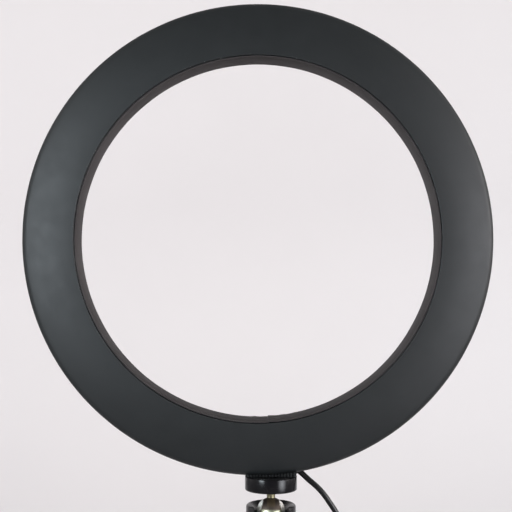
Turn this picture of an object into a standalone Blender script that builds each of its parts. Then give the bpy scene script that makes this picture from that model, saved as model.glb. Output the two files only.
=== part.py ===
"""Ring light: a 260 mm LED ring on a mini ball head, with its USB cable and inline controller.

Axes: +X to the right seen from behind, +Y towards the lit side, +Z up.
The origin is the centre of the ball head's base, where a stand's stud screws in.
"""

import math

import bmesh
import bpy
from mathutils import Matrix, Vector

MM = 0.001
GAP = 0.3 * MM  # running gap between neighbouring pieces

# Ring head
RIM_R = 130.0 * MM
LINER_R = 99.2 * MM  # face of the liner strip in the hole
LINER_THICK = 0.6 * MM
WALL = 1.8 * MM
INNER_R = LINER_R + LINER_THICK + GAP  # hole side of the inner walls
RING_CENTRE = Vector((-7.3 * MM, 0, 180.7 * MM))
BACK = -13.0 * MM  # depths are along the ring's axis, + towards the lit side
FRONT = 11.0 * MM
SPLIT = -0.55 * MM  # joint between back cover and front housing
CROWN_SLOPE = (5.0, 20.0)  # slope of the back cover at its inner and outer edge, degrees
RIM_FILLET = 5.0 * MM
RING_STEPS = 48
TRAY_FLOOR = (5.7 * MM, 6.7 * MM)
BOARD_DEPTH = (7.0 * MM, 8.0 * MM)
BOARD_R = (103.6 * MM, 126.5 * MM)
SCREW_CIRCLE_R = 115.0 * MM
SCREW_COUNT = 6
SCREW_ANGLES = [3 + 360 / SCREW_COUNT * i for i in range(SCREW_COUNT)]
STRIP_R = {"warm": (119.0 * MM, 123.6 * MM), "cool": (106.4 * MM, 111.0 * MM)}
CHIPS_PER_STRIP = 24
LINER_JOINT_ANGLE = -86.7  # where the liner's ends meet, degrees from +X
LINER_JOINT_GAP = 0.5 * MM

# Ball head
BALL_R = 8.0 * MM
BALL = Vector((0, 0, 30.0 * MM))
SEAT_R = BALL_R + GAP
SOCKET_R = 13.8 * MM
SOCKET_TOP = 34.4 * MM
NECK_R = 2.3 * MM
THREAD_R = 3.15 * MM  # 1/4-inch stud
STUD_TOP = 60.5 * MM
DISC_R = 14.4 * MM
DISC_BOTTOM = 42.3 * MM
DISC_TOP = 50.0 * MM
KNOB_Z = 24.0 * MM
KNOB_R = 6.5 * MM
KNOB_SPAN = (15.2 * MM, 26.5 * MM)
NOTCH_FLOOR = 29.6 * MM
KNOB_BORE_R = 3.1 * MM
BASE_BORE_R = 4.8 * MM
BASE_BORE_DEPTH = 10.3 * MM
SHOE_R = 2.8 * MM
LOCK_SCREW_R = 2.0 * MM
STUD_HOLE_R = 3.9 * MM  # in the ring's rim

# Cable and what is on it
CABLE_R = 1.6 * MM
BORE_R = CABLE_R + GAP  # of what the cable passes through
GROMMET_R = 2.2 * MM
WIRE_R = 0.55 * MM
WIRE_HOLE = Vector((18.0 * MM, 0, 65.0 * MM))
WIRE_HOLE_R = 3.6 * MM
CABLE_Y = 2.8 * MM
CABLE_EXIT = Vector((15.0 * MM, CABLE_Y, 52.6 * MM))
CABLE_DROP = math.radians(35)  # slope of the cable as it leaves the ring
EXIT_WAY = Vector((math.cos(CABLE_DROP), 0, -math.sin(CABLE_DROP)))
HANG_X = 46.0 * MM
HANG_Y = 4.0 * MM
CONTROLLER_SIZE = Vector((22.0 * MM, 12.0 * MM, 78.0 * MM))
CONTROLLER_TOP = -18.5 * MM
SHELL_WALL = 1.5 * MM
BUTTON_NAMES = ("power", "mode", "brighter", "dimmer")
BUTTON_PITCH = 16.0 * MM
BUTTON_R = 4.0 * MM
COIL_CENTRE = Vector((30.0 * MM, HANG_Y, -146.5 * MM))
COIL_R = 19.2 * MM
COIL_BUNDLE_R = 7.0 * MM
TIE_ANGLE = 80  # round the coil, degrees from +X
TIE_GAP = 1.0 * MM
TIE_THICK = 0.8 * MM
TIE_WIDTH = 9.0 * MM
PLUG_X = 55.5 * MM
PLUG_TOP = -163.0 * MM
PLUG_BODY = Vector((15.5 * MM, 8.0 * MM, 19.0 * MM))
PLUG_RELIEF = 7.0 * MM  # length of the plug's tapered neck
METAL = Vector((12.0 * MM, 4.5 * MM, 12.0 * MM))  # the plug's metal shell
METAL_WALL = 0.4 * MM

COLOURS = {
    "cover_black": ((0.020, 0.021, 0.022), 0.62, 0.0),
    "liner_black": ((0.030, 0.026, 0.025), 0.80, 0.0),
    "housing_black": ((0.018, 0.018, 0.019), 0.50, 0.0),
    "diffuser_white": ((0.86, 0.86, 0.84), 0.45, 0.0),
    "board_white": ((0.80, 0.80, 0.78), 0.50, 0.0),
    "chip_warm": ((0.86, 0.62, 0.22), 0.40, 0.0),
    "chip_cool": ((0.86, 0.80, 0.42), 0.40, 0.0),
    "steel": ((0.56, 0.56, 0.55), 0.30, 1.0),
    "brass": ((0.72, 0.52, 0.24), 0.32, 1.0),
    "chrome": ((0.80, 0.80, 0.79), 0.06, 1.0),
    "gloss_black": ((0.012, 0.012, 0.013), 0.18, 0.0),
    "rubber": ((0.016, 0.016, 0.016), 0.85, 0.0),
    "nylon": ((0.70, 0.69, 0.64), 0.55, 0.0),
    "cable_black": ((0.018, 0.018, 0.018), 0.32, 0.0),
    "wire_red": ((0.55, 0.03, 0.02), 0.45, 0.0),
    "board_green": ((0.02, 0.16, 0.07), 0.45, 0.0),
}


def material(slot):
    """The Principled material of a colour slot, made once."""
    if slot in bpy.data.materials:
        return bpy.data.materials[slot]
    colour, roughness, metallic = COLOURS[slot]
    made = bpy.data.materials.new(slot)
    made.use_nodes = True
    shader = made.node_tree.nodes["Principled BSDF"]
    shader.inputs["Base Color"].default_value = (*colour, 1)
    shader.inputs["Roughness"].default_value = roughness
    shader.inputs["Metallic"].default_value = metallic
    made.diffuse_color = (*colour, 1)
    return made


def new_collection(name):
    made = bpy.data.collections.new(name)
    bpy.context.scene.collection.children.link(made)
    return made


def clear_scene():
    for obj in list(bpy.data.objects):
        bpy.data.objects.remove(obj, do_unlink=True)


clear_scene()
PARTS = new_collection("ring_light")
CUTTERS = new_collection("cutters")


# ---------------------------------------------------------------- general helpers


def keep(obj, slot=None, parent=None):
    """Puts an object among the parts, or among the cutters if it has no material slot."""
    if slot is None:
        CUTTERS.objects.link(obj)
        obj.hide_render = True
        obj.display_type = "WIRE"
        return obj
    PARTS.objects.link(obj)
    obj.data.materials.append(material(slot))
    if parent is not None:
        hang_on(obj, parent)
    return obj


def hang_on(obj, parent):
    """Parents an object to an unrotated empty without moving it."""
    obj.parent = parent
    obj.matrix_parent_inverse = Matrix.Translation(-world_place[parent.name])


world_place = {}


def pivot(name, place, parent=None):
    """An empty on a joint's axis, at a place in the world."""
    empty = bpy.data.objects.new(name, None)
    empty.empty_display_size = 10 * MM
    empty.location = place
    PARTS.objects.link(empty)
    world_place[name] = Vector(place)
    if parent is not None:
        hang_on(empty, parent)
    return empty


def object_from_bmesh(name, mesh_edit, smooth_angle=35):
    mesh = bpy.data.meshes.new(name)
    mesh_edit.to_mesh(mesh)
    mesh_edit.free()
    mesh.shade_smooth()
    mesh.set_sharp_from_angle(angle=math.radians(smooth_angle))
    return bpy.data.objects.new(name, mesh)


def aim(direction):
    """The rotation that turns +Z to a direction."""
    return Vector(direction).to_track_quat("Z", "Y").to_matrix().to_4x4()


def rod(name, radius, start, end, steps=24, end_radius=None):
    """A cylinder or a cone between two places."""
    start, end = Vector(start), Vector(end)
    edit = bmesh.new()
    bmesh.ops.create_cone(
        edit,
        cap_ends=True,
        segments=steps,
        radius1=radius,
        radius2=radius if end_radius is None else end_radius,
        depth=(end - start).length,
        matrix=aim(end - start),
    )
    obj = object_from_bmesh(name, edit)
    obj.location = (start + end) / 2
    return obj


def box(name, low, high, bevel=0.0, segments=2):
    """A block between its lowest and highest corners, its edges rounded if bevel is given."""
    low, high = Vector(low), Vector(high)
    edit = bmesh.new()
    bmesh.ops.create_cube(edit, size=1, matrix=Matrix.Diagonal((*(high - low), 1)))
    obj = object_from_bmesh(name, edit)
    obj.location = (low + high) / 2
    if bevel:
        rounding = obj.modifiers.new("rounding", "BEVEL")
        rounding.width = bevel
        rounding.segments = segments
    return obj


def ball(name, radius, centre, across=24, down=14):
    edit = bmesh.new()
    bmesh.ops.create_uvsphere(edit, u_segments=across, v_segments=down, radius=radius)
    obj = object_from_bmesh(name, edit, 60)
    obj.location = centre
    return obj


def turned(name, outline, steps, place=(0, 0, 0), facing=(0, 0, 1)):
    """A turned piece. Its outline is (radius, height) points, clockwise with height up, and
    closed into a ring unless it starts and ends on the axis."""
    mesh = bpy.data.meshes.new(name)
    count = len(outline)
    on_axis = outline[0][0] == 0
    edges = [(i, i + 1) for i in range(count - 1)]
    if not on_axis:
        edges.append((count - 1, 0))
    mesh.from_pydata([(radius, 0, height) for radius, height in outline], edges, [])
    obj = bpy.data.objects.new(name, mesh)
    screw = obj.modifiers.new("turn", "SCREW")
    screw.steps = screw.render_steps = steps
    screw.use_merge_vertices = True
    screw.merge_threshold = 1e-5
    screw.use_smooth_shade = False
    obj.location = place
    obj.rotation_euler = aim(facing).to_euler()
    return obj


def arc(centre, radius, start, end, count):
    """Points on an arc, from angle start to end in degrees."""
    angles = [math.radians(start + (end - start) * i / (count - 1)) for i in range(count)]
    return [(centre[0] + radius * math.cos(a), centre[1] + radius * math.sin(a)) for a in angles]


def use_boolean(obj, operation, others):
    for other in others:
        if other.name not in CUTTERS.objects:
            keep(other)
        change = obj.modifiers.new(f"{operation.lower()} {other.name}", "BOOLEAN")
        change.operation = operation
        change.object = other
    return obj


def cut(obj, *cutters):
    return use_boolean(obj, "DIFFERENCE", cutters)


def unite(obj, *others):
    return use_boolean(obj, "UNION", others)


def on_ring(angle, radius, depth):
    """A place on the ring head: angle in degrees from +X, radius from its axis, depth along it."""
    a = math.radians(angle)
    return RING_CENTRE + Vector((radius * math.cos(a), depth, radius * math.sin(a)))


def ring_turned(name, outline, steps=RING_STEPS):
    """A turned piece of the ring head: heights in its outline are depths towards the lit side."""
    return turned(name, outline, steps, RING_CENTRE, (0, 1, 0))


def smooth_route(points, spacing):
    """Points a spacing apart on a Catmull-Rom curve through a route's points."""
    places = [Vector(p) for p in points]
    places = [2 * places[0] - places[1], *places, 2 * places[-1] - places[-2]]
    fine = []
    for a, b, c, d in zip(places, places[1:], places[2:], places[3:]):
        for i in range(24):
            t = i / 24
            fine.append(
                0.5 * (2 * b + (c - a) * t + (2 * a - 5 * b + 4 * c - d) * t**2
                       + (3 * b - a - 3 * c + d) * t**3)
            )
    fine.append(places[-2])
    along = [0.0]
    for a, b in zip(fine, fine[1:]):
        along.append(along[-1] + (b - a).length)
    count = max(2, round(along[-1] / spacing) + 1)
    route, at = [], 0
    for i in range(count):
        want = along[-1] * i / (count - 1)
        while at < len(along) - 2 and along[at + 1] < want:
            at += 1
        share = (want - along[at]) / (along[at + 1] - along[at])
        route.append(fine[at].lerp(fine[at + 1], share))
    return route


def tube(name, points, radius):
    """A round cord or wire along points, as a bevelled curve with filled caps."""
    curve = bpy.data.curves.new(name, "CURVE")
    curve.dimensions = "3D"
    curve.bevel_depth = radius
    curve.bevel_resolution = 2
    curve.use_fill_caps = True
    spline = curve.splines.new("POLY")
    spline.points.add(len(points) - 1)
    for knot, place in zip(spline.points, points):
        knot.co = (*place, 1)
    return bpy.data.objects.new(name, curve)


# ---------------------------------------------------------------- joint axes

roll_axis = pivot("head_roll_axis", BALL)
tilt_axis = pivot("head_tilt_axis", BALL, roll_axis)
stem_axis = pivot("stem_axis", (0, 0, DISC_BOTTOM), tilt_axis)
ring_pivot = pivot("ring_head_pivot", (0, 0, DISC_TOP), stem_axis)
knob_axis = pivot("lock_knob_axis", (0, KNOB_SPAN[0], KNOB_Z))


# ---------------------------------------------------------------- ring head


def crown_outline(depth_in):
    """The back cover's outer surface, or the one a wall's thickness inside it, rim to inner edge.

    A crown arc runs from the gentle slope at the inner edge to the steeper one at the outer edge,
    and a fillet turns it up into the rim.
    """
    near, far = (math.radians(a) for a in CROWN_SLOPE)
    fillet_r = RIM_R - RIM_FILLET
    outer_r = fillet_r + RIM_FILLET * math.sin(far)
    inner_r = INNER_R + 0.4 * MM
    crown_r = (outer_r - inner_r) / (math.sin(far) - math.sin(near))
    centre = (inner_r - crown_r * math.sin(near), BACK + crown_r * math.cos(near))
    fillet_z = centre[1] - (crown_r - RIM_FILLET) * math.cos(far)
    first_slope = CROWN_SLOPE[0] + (0.9 if depth_in else 0)
    fillet = arc((fillet_r, fillet_z), RIM_FILLET - depth_in, 0, -90 + CROWN_SLOPE[1], 4)
    crown = arc(centre, crown_r - depth_in, -90 + CROWN_SLOPE[1], -90 + first_slope, 5)
    return fillet + crown[1:]


def make_back_cover():
    outer = crown_outline(0)
    inner = crown_outline(WALL)
    edge = SPLIT - GAP / 2
    outline = [(RIM_R, edge), *outer, (INNER_R, BACK + 0.4 * MM), (INNER_R, edge)]
    outline += [(INNER_R + WALL, edge), *reversed(inner), (RIM_R - WALL, edge)]
    cover = ring_turned("back_cover", outline)
    for i, angle in enumerate(SCREW_ANGLES):
        low, high = -9.9 * MM, TRAY_FLOOR[0] - GAP
        post = rod(f"post_{i + 1}", 3.0 * MM, on_ring(angle, SCREW_CIRCLE_R, low),
                   on_ring(angle, SCREW_CIRCLE_R, high), 12)
        pilot = rod(f"pilot_{i + 1}", 1.4 * MM, on_ring(angle, SCREW_CIRCLE_R, -7 * MM),
                    on_ring(angle, SCREW_CIRCLE_R, high + 1 * MM), 12)
        unite(cover, post)
        cut(cover, pilot)
    cut(cover, stud_hole)
    return keep(cover, "cover_black", ring_pivot)


def make_front_housing():
    foot = SPLIT + GAP / 2
    outer, inner = RIM_R - WALL, INNER_R + WALL
    floor, lid = TRAY_FLOOR
    outline = arc((RIM_R - 1 * MM, FRONT - 1 * MM), 1 * MM, 90, 0, 3)
    outline += [(RIM_R, foot), (outer, foot), (outer, floor), (inner, floor), (inner, foot)]
    outline += [(INNER_R, foot), (INNER_R, FRONT - 0.6 * MM), (INNER_R + 0.6 * MM, FRONT)]
    outline += [(inner, FRONT), (inner, lid), (outer, lid), (outer, FRONT)]
    housing = ring_turned("front_housing", outline)
    for i, angle in enumerate(SCREW_ANGLES):
        hole = rod(f"tray_hole_{i + 1}", 1.5 * MM, on_ring(angle, SCREW_CIRCLE_R, floor - 1 * MM),
                   on_ring(angle, SCREW_CIRCLE_R, lid + 1 * MM), 12)
        cut(housing, hole)
    wire_hole = rod("wire_hole", WIRE_HOLE_R, WIRE_HOLE + Vector((0, floor - 1 * MM, 0)),
                    WIRE_HOLE + Vector((0, lid + 1 * MM, 0)), 16)
    grommet_hole = rod("grommet_hole", GROMMET_R + GAP, along_exit(-7 * MM), along_exit(6 * MM), 16)
    cut(housing, wire_hole, grommet_hole, stud_hole)
    return keep(housing, "housing_black", ring_pivot)


def make_liner():
    low, high = BACK + 0.3 * MM, FRONT - 0.2 * MM
    outer = LINER_R + LINER_THICK
    outline = [(LINER_R, high), (outer, high), (outer, low), (LINER_R, low)]
    liner = ring_turned("inner_band", outline)
    slot = box("liner_slot", (-2 * MM, -20 * MM, -LINER_JOINT_GAP / 2),
               (2 * MM, 20 * MM, LINER_JOINT_GAP / 2))
    slot.location = on_ring(LINER_JOINT_ANGLE, LINER_R + LINER_THICK / 2, 0)
    slot.rotation_euler = (0, -math.radians(LINER_JOINT_ANGLE), 0)
    cut(liner, slot)
    return keep(liner, "liner_black", ring_pivot)


def make_diffuser():
    low = INNER_R + WALL + GAP
    high = RIM_R - WALL - GAP
    middle, half, rise = (low + high) / 2, (high - low) / 2, 0.7 * MM
    bend = (half**2 + rise**2) / (2 * rise)
    span = math.degrees(math.asin(half / bend))
    front = arc((middle, FRONT + rise - bend), bend, 90 + span, 90 - span, 5)
    outline = [*front, (high, 9.6 * MM), (low, 9.6 * MM)]
    return keep(ring_turned("diffuser", outline), "diffuser_white", ring_pivot)


def make_led_board():
    back, face = BOARD_DEPTH
    inner, outer = BOARD_R
    outline = [(inner, face), (outer, face), (outer, back), (inner, back)]
    board = ring_turned("led_board", outline)
    for i, angle in enumerate(SCREW_ANGLES):
        hole = rod(f"board_hole_{i + 1}", 1.5 * MM, on_ring(angle, SCREW_CIRCLE_R, back - 1 * MM),
                   on_ring(angle, SCREW_CIRCLE_R, face + 1 * MM), 12)
        cut(board, hole)
    return keep(board, "board_white", ring_pivot)


def make_led_strip(kind):
    """A flexible strip laid in a circle, with its chips standing on it."""
    inner, outer = STRIP_R[kind]
    back = BOARD_DEPTH[1] + GAP
    face = back + 0.2 * MM
    outline = [(inner, face), (outer, face), (outer, back), (inner, back)]
    strip = ring_turned(f"led_strip_{kind}", outline, CHIPS_PER_STRIP)
    edit = bmesh.new()
    half_step = 180 / CHIPS_PER_STRIP
    radius = (inner + outer) / 2 * math.cos(math.radians(half_step))
    for i in range(CHIPS_PER_STRIP):
        angle = half_step * (2 * i + 1)
        place = on_ring(angle, radius, face + 0.2 * MM)
        turn = Matrix.Rotation(-math.radians(angle), 4, "Y")
        size = Matrix.Diagonal((2.8 * MM, 0.8 * MM, 2.8 * MM, 1))
        bmesh.ops.create_cube(edit, size=1, matrix=Matrix.Translation(place) @ turn @ size)
    unite(strip, object_from_bmesh(f"chips_{kind}", edit))
    return keep(strip, f"chip_{kind}", ring_pivot)


def make_board_screws():
    head = BOARD_DEPTH[1] + GAP
    for i, angle in enumerate(SCREW_ANGLES):
        outline = [(0, 0.9 * MM), (1.6 * MM, 0.9 * MM), (2.3 * MM, 0.4 * MM), (2.3 * MM, 0),
                   (1.1 * MM, 0), (1.1 * MM, -10.5 * MM), (0, -11.3 * MM)]
        screw = turned(f"board_screw_{i + 1}", outline, 8, on_ring(angle, SCREW_CIRCLE_R, head),
                       (0, 1, 0))
        keep(screw, "steel", ring_pivot)


def make_mount():
    block = box("mount_block", (-7 * MM, -4.9 * MM, 53 * MM), (7 * MM, 5.1 * MM, 63 * MM))
    bore = rod("insert_bore", 4.5 * MM, (0, 0, 50 * MM), (0, 0, 66 * MM), 24)
    inside = rod("rim_inside", 126.4 * MM, RING_CENTRE - Vector((0, 10 * MM, 0)),
                 RING_CENTRE + Vector((0, 10 * MM, 0)), 128)
    use_boolean(block, "INTERSECT", [inside])
    cut(block, bore)
    keep(block, "housing_black", ring_pivot)
    low, high = 54.6 * MM, 62.6 * MM
    outline = [(3.5 * MM, high), (4.2 * MM, high), (4.2 * MM, low), (3.5 * MM, low)]
    keep(turned("mount_insert", outline, 16), "brass", ring_pivot)


# ---------------------------------------------------------------- ball head


def make_socket():
    edge = arc((SOCKET_R - 1.5 * MM, SOCKET_TOP - 1.5 * MM), 1.5 * MM, 90, 0, 4)
    outline = [(0, SOCKET_TOP), *edge, (SOCKET_R, 7.0 * MM), (12.8 * MM, 6.2 * MM),
               (12.8 * MM, 0.6 * MM), (12.2 * MM, 0), (0, 0)]
    socket = turned("socket_housing", outline, 36)
    seat = ball("seat_cutter", SEAT_R, BALL)
    well = rod("well_cutter", 5.0 * MM, (0, 0, 15 * MM), (0, 0, 25 * MM), 20)
    throat, flare = 8.35 * MM, 10.8 * MM
    notch = box("notch_cutter", (-1, -1, -1), (1, 1, 1))
    corners = [(throat, -1.5 * MM), (flare, -16 * MM)]
    for vertex in notch.data.vertices:
        width, depth = corners[vertex.co.y < 0]
        vertex.co.x = math.copysign(width, vertex.co.x)
        vertex.co.y = depth
        vertex.co.z = NOTCH_FLOOR if vertex.co.z < 0 else SOCKET_TOP + 3 * MM
    slot = rod("stem_slot", NECK_R + 0.6 * MM, (0, -4 * MM, BALL.z), (0, -18 * MM, BALL.z))
    flat = box("disc_flat", (-16 * MM, -20 * MM, 14.5 * MM), (16 * MM, -11.3 * MM, 40 * MM))
    knob_bore = rod("knob_bore", KNOB_BORE_R, (0, 3 * MM, KNOB_Z), (0, 17 * MM, KNOB_Z))
    insert_bore = rod("base_bore", BASE_BORE_R, (0, 0, -2 * MM), (0, 0, BASE_BORE_DEPTH))
    cut(socket, seat, well, notch, slot, flat, knob_bore, insert_bore)
    return keep(socket, "gloss_black")


def make_ball_head():
    make_socket()
    seat_outline = [(0, 23.5 * MM), (4.6 * MM, 23.5 * MM), (4.6 * MM, 15.3 * MM), (0, 15.3 * MM)]
    seat = turned("ball_seat", seat_outline, 24)
    clearance = ball("ball_clearance", SEAT_R, BALL)
    cut(seat, clearance)
    keep(seat, "nylon")
    insert = [(3.2 * MM, 10.0 * MM), (4.5 * MM, 10.0 * MM), (4.5 * MM, 0), (3.2 * MM, 0)]
    keep(turned("base_insert", insert, 16), "steel")
    keep(ball("ball", BALL_R, BALL), "chrome", roll_axis)
    stud_outline = [(0, STUD_TOP), (2.6 * MM, STUD_TOP), (THREAD_R, STUD_TOP - 0.6 * MM),
                    (THREAD_R, DISC_BOTTOM + 0.9 * MM), (NECK_R, DISC_BOTTOM + 0.3 * MM),
                    (NECK_R, 36.5 * MM), (0, 36.5 * MM)]
    stud = turned("stud", stud_outline, 24)
    cut(stud, clearance)
    keep(stud, "chrome", tilt_axis)
    make_disc()
    make_lock()


def make_disc():
    recess = DISC_R - 0.7 * MM
    outline = [(recess, DISC_TOP), (DISC_R - 0.4 * MM, DISC_TOP), (DISC_R, DISC_TOP - 0.4 * MM)]
    outline += arc((DISC_R - 0.7 * MM, DISC_BOTTOM + 0.7 * MM), 0.7 * MM, 0, -90, 3)
    outline += [(3.7 * MM, DISC_BOTTOM), (3.7 * MM, DISC_BOTTOM + 1 * MM),
                (4.6 * MM, DISC_BOTTOM + 1 * MM), (4.6 * MM, DISC_TOP - 1.1 * MM),
                (recess, DISC_TOP - 1.1 * MM)]
    keep(turned("lock_disc", outline, 36), "gloss_black", stem_axis)
    low, high = DISC_TOP - 0.8 * MM, DISC_TOP + 0.4 * MM
    pad = [(4.2 * MM, high), (recess - GAP, high), (recess - GAP, low), (4.2 * MM, low)]
    keep(turned("disc_pad", pad, 36), "rubber", stem_axis)
    low, high = DISC_BOTTOM + 1.3 * MM, DISC_TOP - 1.4 * MM
    insert = [(3.5 * MM, high), (4.3 * MM, high), (4.3 * MM, low), (3.5 * MM, low)]
    keep(turned("disc_insert", insert, 16), "brass", stem_axis)


def make_lock():
    shoe = rod("brake_shoe", SHOE_R, (0, 5.2 * MM, KNOB_Z), (0, 10.6 * MM, KNOB_Z))
    cut(shoe, ball("shoe_hollow", SEAT_R, BALL))
    keep(shoe, "nylon", knob_axis)
    screw = rod("lock_screw", LOCK_SCREW_R, (0, 10.9 * MM, KNOB_Z), (0, 23.5 * MM, KNOB_Z))
    keep(screw, "steel", knob_axis)
    inner, outer = KNOB_SPAN
    length = outer - inner
    outline = [(0, length), (KNOB_R - 1 * MM, length), (KNOB_R, length - 1 * MM),
               (KNOB_R, 2.5 * MM), (4.2 * MM, 1.5 * MM), (4.2 * MM, 0), (2.3 * MM, 0),
               (2.3 * MM, 8.6 * MM), (0, 8.6 * MM)]
    knob = turned("lock_knob", outline, 24, (0, inner, KNOB_Z), (0, 1, 0))
    for i in range(8):
        a = math.radians(45 * i + 22.5)
        across = Vector((math.cos(a), 0, math.sin(a))) * (KNOB_R + 0.5 * MM)
        flute = rod(f"flute_{i + 1}", 1.2 * MM, Vector((0, inner + 2 * MM, KNOB_Z)) + across,
                    Vector((0, outer + 1 * MM, KNOB_Z)) + across, 8)
        cut(knob, flute)
    keep(knob, "gloss_black", knob_axis)


# ---------------------------------------------------------------- cable, controller, coil, plug


def along_exit(distance):
    """A place on the cable's line through the rim: positive outside, negative inside."""
    return CABLE_EXIT + EXIT_WAY * distance


def make_grommet():
    grommet = rod("cable_grommet", GROMMET_R, along_exit(-5.5 * MM), along_exit(1.5 * MM), 16)
    cut(grommet, rod("grommet_bore", BORE_R, along_exit(-8 * MM), along_exit(4 * MM), 16))
    keep(grommet, "rubber", ring_pivot)


def make_lead_wires():
    """Three wires from the cable's inner end to the back of the LED board."""
    slots = {"common": "cable_black", "warm": "wire_red", "cool": "nylon"}
    for i, (kind, slot) in enumerate(slots.items()):
        aside = (i - 1) * 1.5 * MM
        start = along_exit(-6.2 * MM) + Vector((0, aside, 0))
        end = WIRE_HOLE + Vector((-aside, BOARD_DEPTH[0] - GAP, 0))
        turn = Vector((end.x - 1 * MM, start.y + 0.6 * MM, end.z - 1 * MM))
        route = smooth_route([start, start - EXIT_WAY * MM, turn, end], 2.5 * MM)
        keep(tube(f"lead_wire_{kind}", route, WIRE_R), slot, ring_pivot)


def make_cable_lead():
    """The cable from inside the rim down to the controller, hanging free."""
    route = [along_exit(-5.0 * MM), CABLE_EXIT]
    bend = [(17.9, 50.4), (21.5, 47.4), (26.0, 43.4), (29.4, 39.6), (32.4, 35.0), (35.4, 30.0),
            (39.0, 22.8), (42.4, 13.5), (44.7, 3.0), (45.7, -2.5), (46.0, -11.5), (46.0, -22.5)]
    drop = CABLE_EXIT.z - CONTROLLER_TOP
    for x, z in bend:
        lower = (CABLE_EXIT.z - z * MM) / drop
        route.append(Vector((x * MM, CABLE_Y + (HANG_Y - CABLE_Y) * min(1, lower), z * MM)))
    keep(tube("cable_lead", smooth_route(route, 4.5 * MM), CABLE_R), "cable_black", ring_pivot)


def make_sleeve(name, wall_z, way):
    """A strain relief through the controller's end wall; way is +1 at the top and -1 below."""
    profile = [(2.5, 10.0), (4.2, 0.3), (2.9, 0.3), (2.9, -1.8), (4.2, -1.8), (4.2, -3.2)]
    outline = [(BORE_R, 10.0 * MM), *[(r * MM, z * MM) for r, z in profile], (BORE_R, -3.2 * MM)]
    sleeve = turned(name, outline, 12, (HANG_X, HANG_Y, wall_z), (0, 0, way))
    keep(sleeve, "rubber", ring_pivot)


def make_controller():
    low = Vector((HANG_X, HANG_Y, CONTROLLER_TOP)) - Vector(
        (CONTROLLER_SIZE.x / 2, CONTROLLER_SIZE.y / 2, CONTROLLER_SIZE.z))
    high = low + CONTROLLER_SIZE
    wall = Vector((SHELL_WALL,) * 3)
    middle = (low + high) / 2
    far = 20 * MM
    for side, way in (("front", 1), ("back", -1)):
        shell = box(f"controller_shell_{side}", low, high, 2.0 * MM)
        cavity = box(f"cavity_{side}", low + wall, high - wall)
        edge = HANG_Y - way * GAP / 2
        other_low = (low.x - far, min(edge, edge + way * far), low.z - far)
        other_high = (high.x + far, max(edge, edge + way * far), high.z + far)
        cable_way = rod(f"cable_way_{side}", 3.2 * MM, (HANG_X, HANG_Y, low.z - far),
                        (HANG_X, HANG_Y, high.z + far), 16)
        cut(shell, cavity, box(f"half_{side}", other_low, other_high), cable_way)
        if side == "front":
            for name, z in button_places():
                cut(shell, rod(f"{name}_hole", BUTTON_R + GAP, (HANG_X, low.y - 2 * MM, z),
                               (HANG_X, low.y + 3 * MM, z), 12))
        keep(shell, "housing_black", ring_pivot)
    board = box("controller_board", (middle.x - 8 * MM, HANG_Y + 0.6 * MM, low.z + 8 * MM),
                (middle.x + 8 * MM, HANG_Y + 2.2 * MM, high.z - 8 * MM))
    for name, z in button_places():
        switch = box(f"{name}_switch", (HANG_X - 3 * MM, HANG_Y - 1.9 * MM, z - 3 * MM),
                     (HANG_X + 3 * MM, HANG_Y + 1 * MM, z + 3 * MM))
        unite(board, switch)
    keep(board, "board_green", ring_pivot)
    for name, z in button_places():
        outline = [(0, 0.9 * MM), (3.4 * MM, 0.9 * MM), (BUTTON_R, 0.4 * MM),
                   (BUTTON_R, -1.8 * MM), (4.8 * MM, -1.8 * MM), (4.8 * MM, -2.8 * MM),
                   (0, -2.8 * MM)]
        axis = pivot(f"button_{name}_axis", (HANG_X, low.y, z), ring_pivot)
        button = turned(f"button_{name}", outline, 12, (HANG_X, low.y, z), (0, -1, 0))
        keep(button, "rubber", axis)
    make_sleeve("sleeve_upper", CONTROLLER_TOP, 1)
    make_sleeve("sleeve_lower", CONTROLLER_TOP - CONTROLLER_SIZE.z, -1)


def button_places():
    top = CONTROLLER_TOP - CONTROLLER_SIZE.z / 2 + 1.5 * BUTTON_PITCH
    return [(name, top - i * BUTTON_PITCH) for i, name in enumerate(BUTTON_NAMES)]


def around_coil(angle, radius):
    a = math.radians(angle)
    return COIL_CENTRE + Vector((radius * math.cos(a), 0, radius * math.sin(a)))


def make_coil():
    outside = COIL_R + COIL_BUNDLE_R + CABLE_R + GAP
    bottom = CONTROLLER_TOP - CONTROLLER_SIZE.z
    drop = [(0, 4.0), (0, -4.0), (0, -11.0), (0.9, -18.5), (3.4, -26.5), (7.2, -34.0)]
    route = [(HANG_X + x * MM, HANG_Y, bottom + z * MM) for x, z in drop]
    route.append(around_coil(18, outside))
    keep(tube("cable_tail", smooth_route(route, 4.5 * MM), CABLE_R), "cable_black", ring_pivot)
    section = arc((COIL_R, 0), COIL_BUNDLE_R, 90, 90 - 360 * 9 / 10, 10)
    coil = turned("cable_coil", section, 32, COIL_CENTRE, (0, 1, 0))
    keep(coil, "cable_black", ring_pivot)
    inner = COIL_BUNDLE_R + TIE_GAP
    outer, half = inner + TIE_THICK, TIE_WIDTH / 2
    strap = [(inner, half), (outer, half), (outer, -half), (inner, -half)]
    tie_angle = math.radians(TIE_ANGLE)
    tangent = (math.sin(tie_angle), 0, -math.cos(tie_angle))
    tie = turned("coil_tie", strap, 20, around_coil(TIE_ANGLE, COIL_R), tangent)
    keep(tie, "rubber", ring_pivot)


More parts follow.
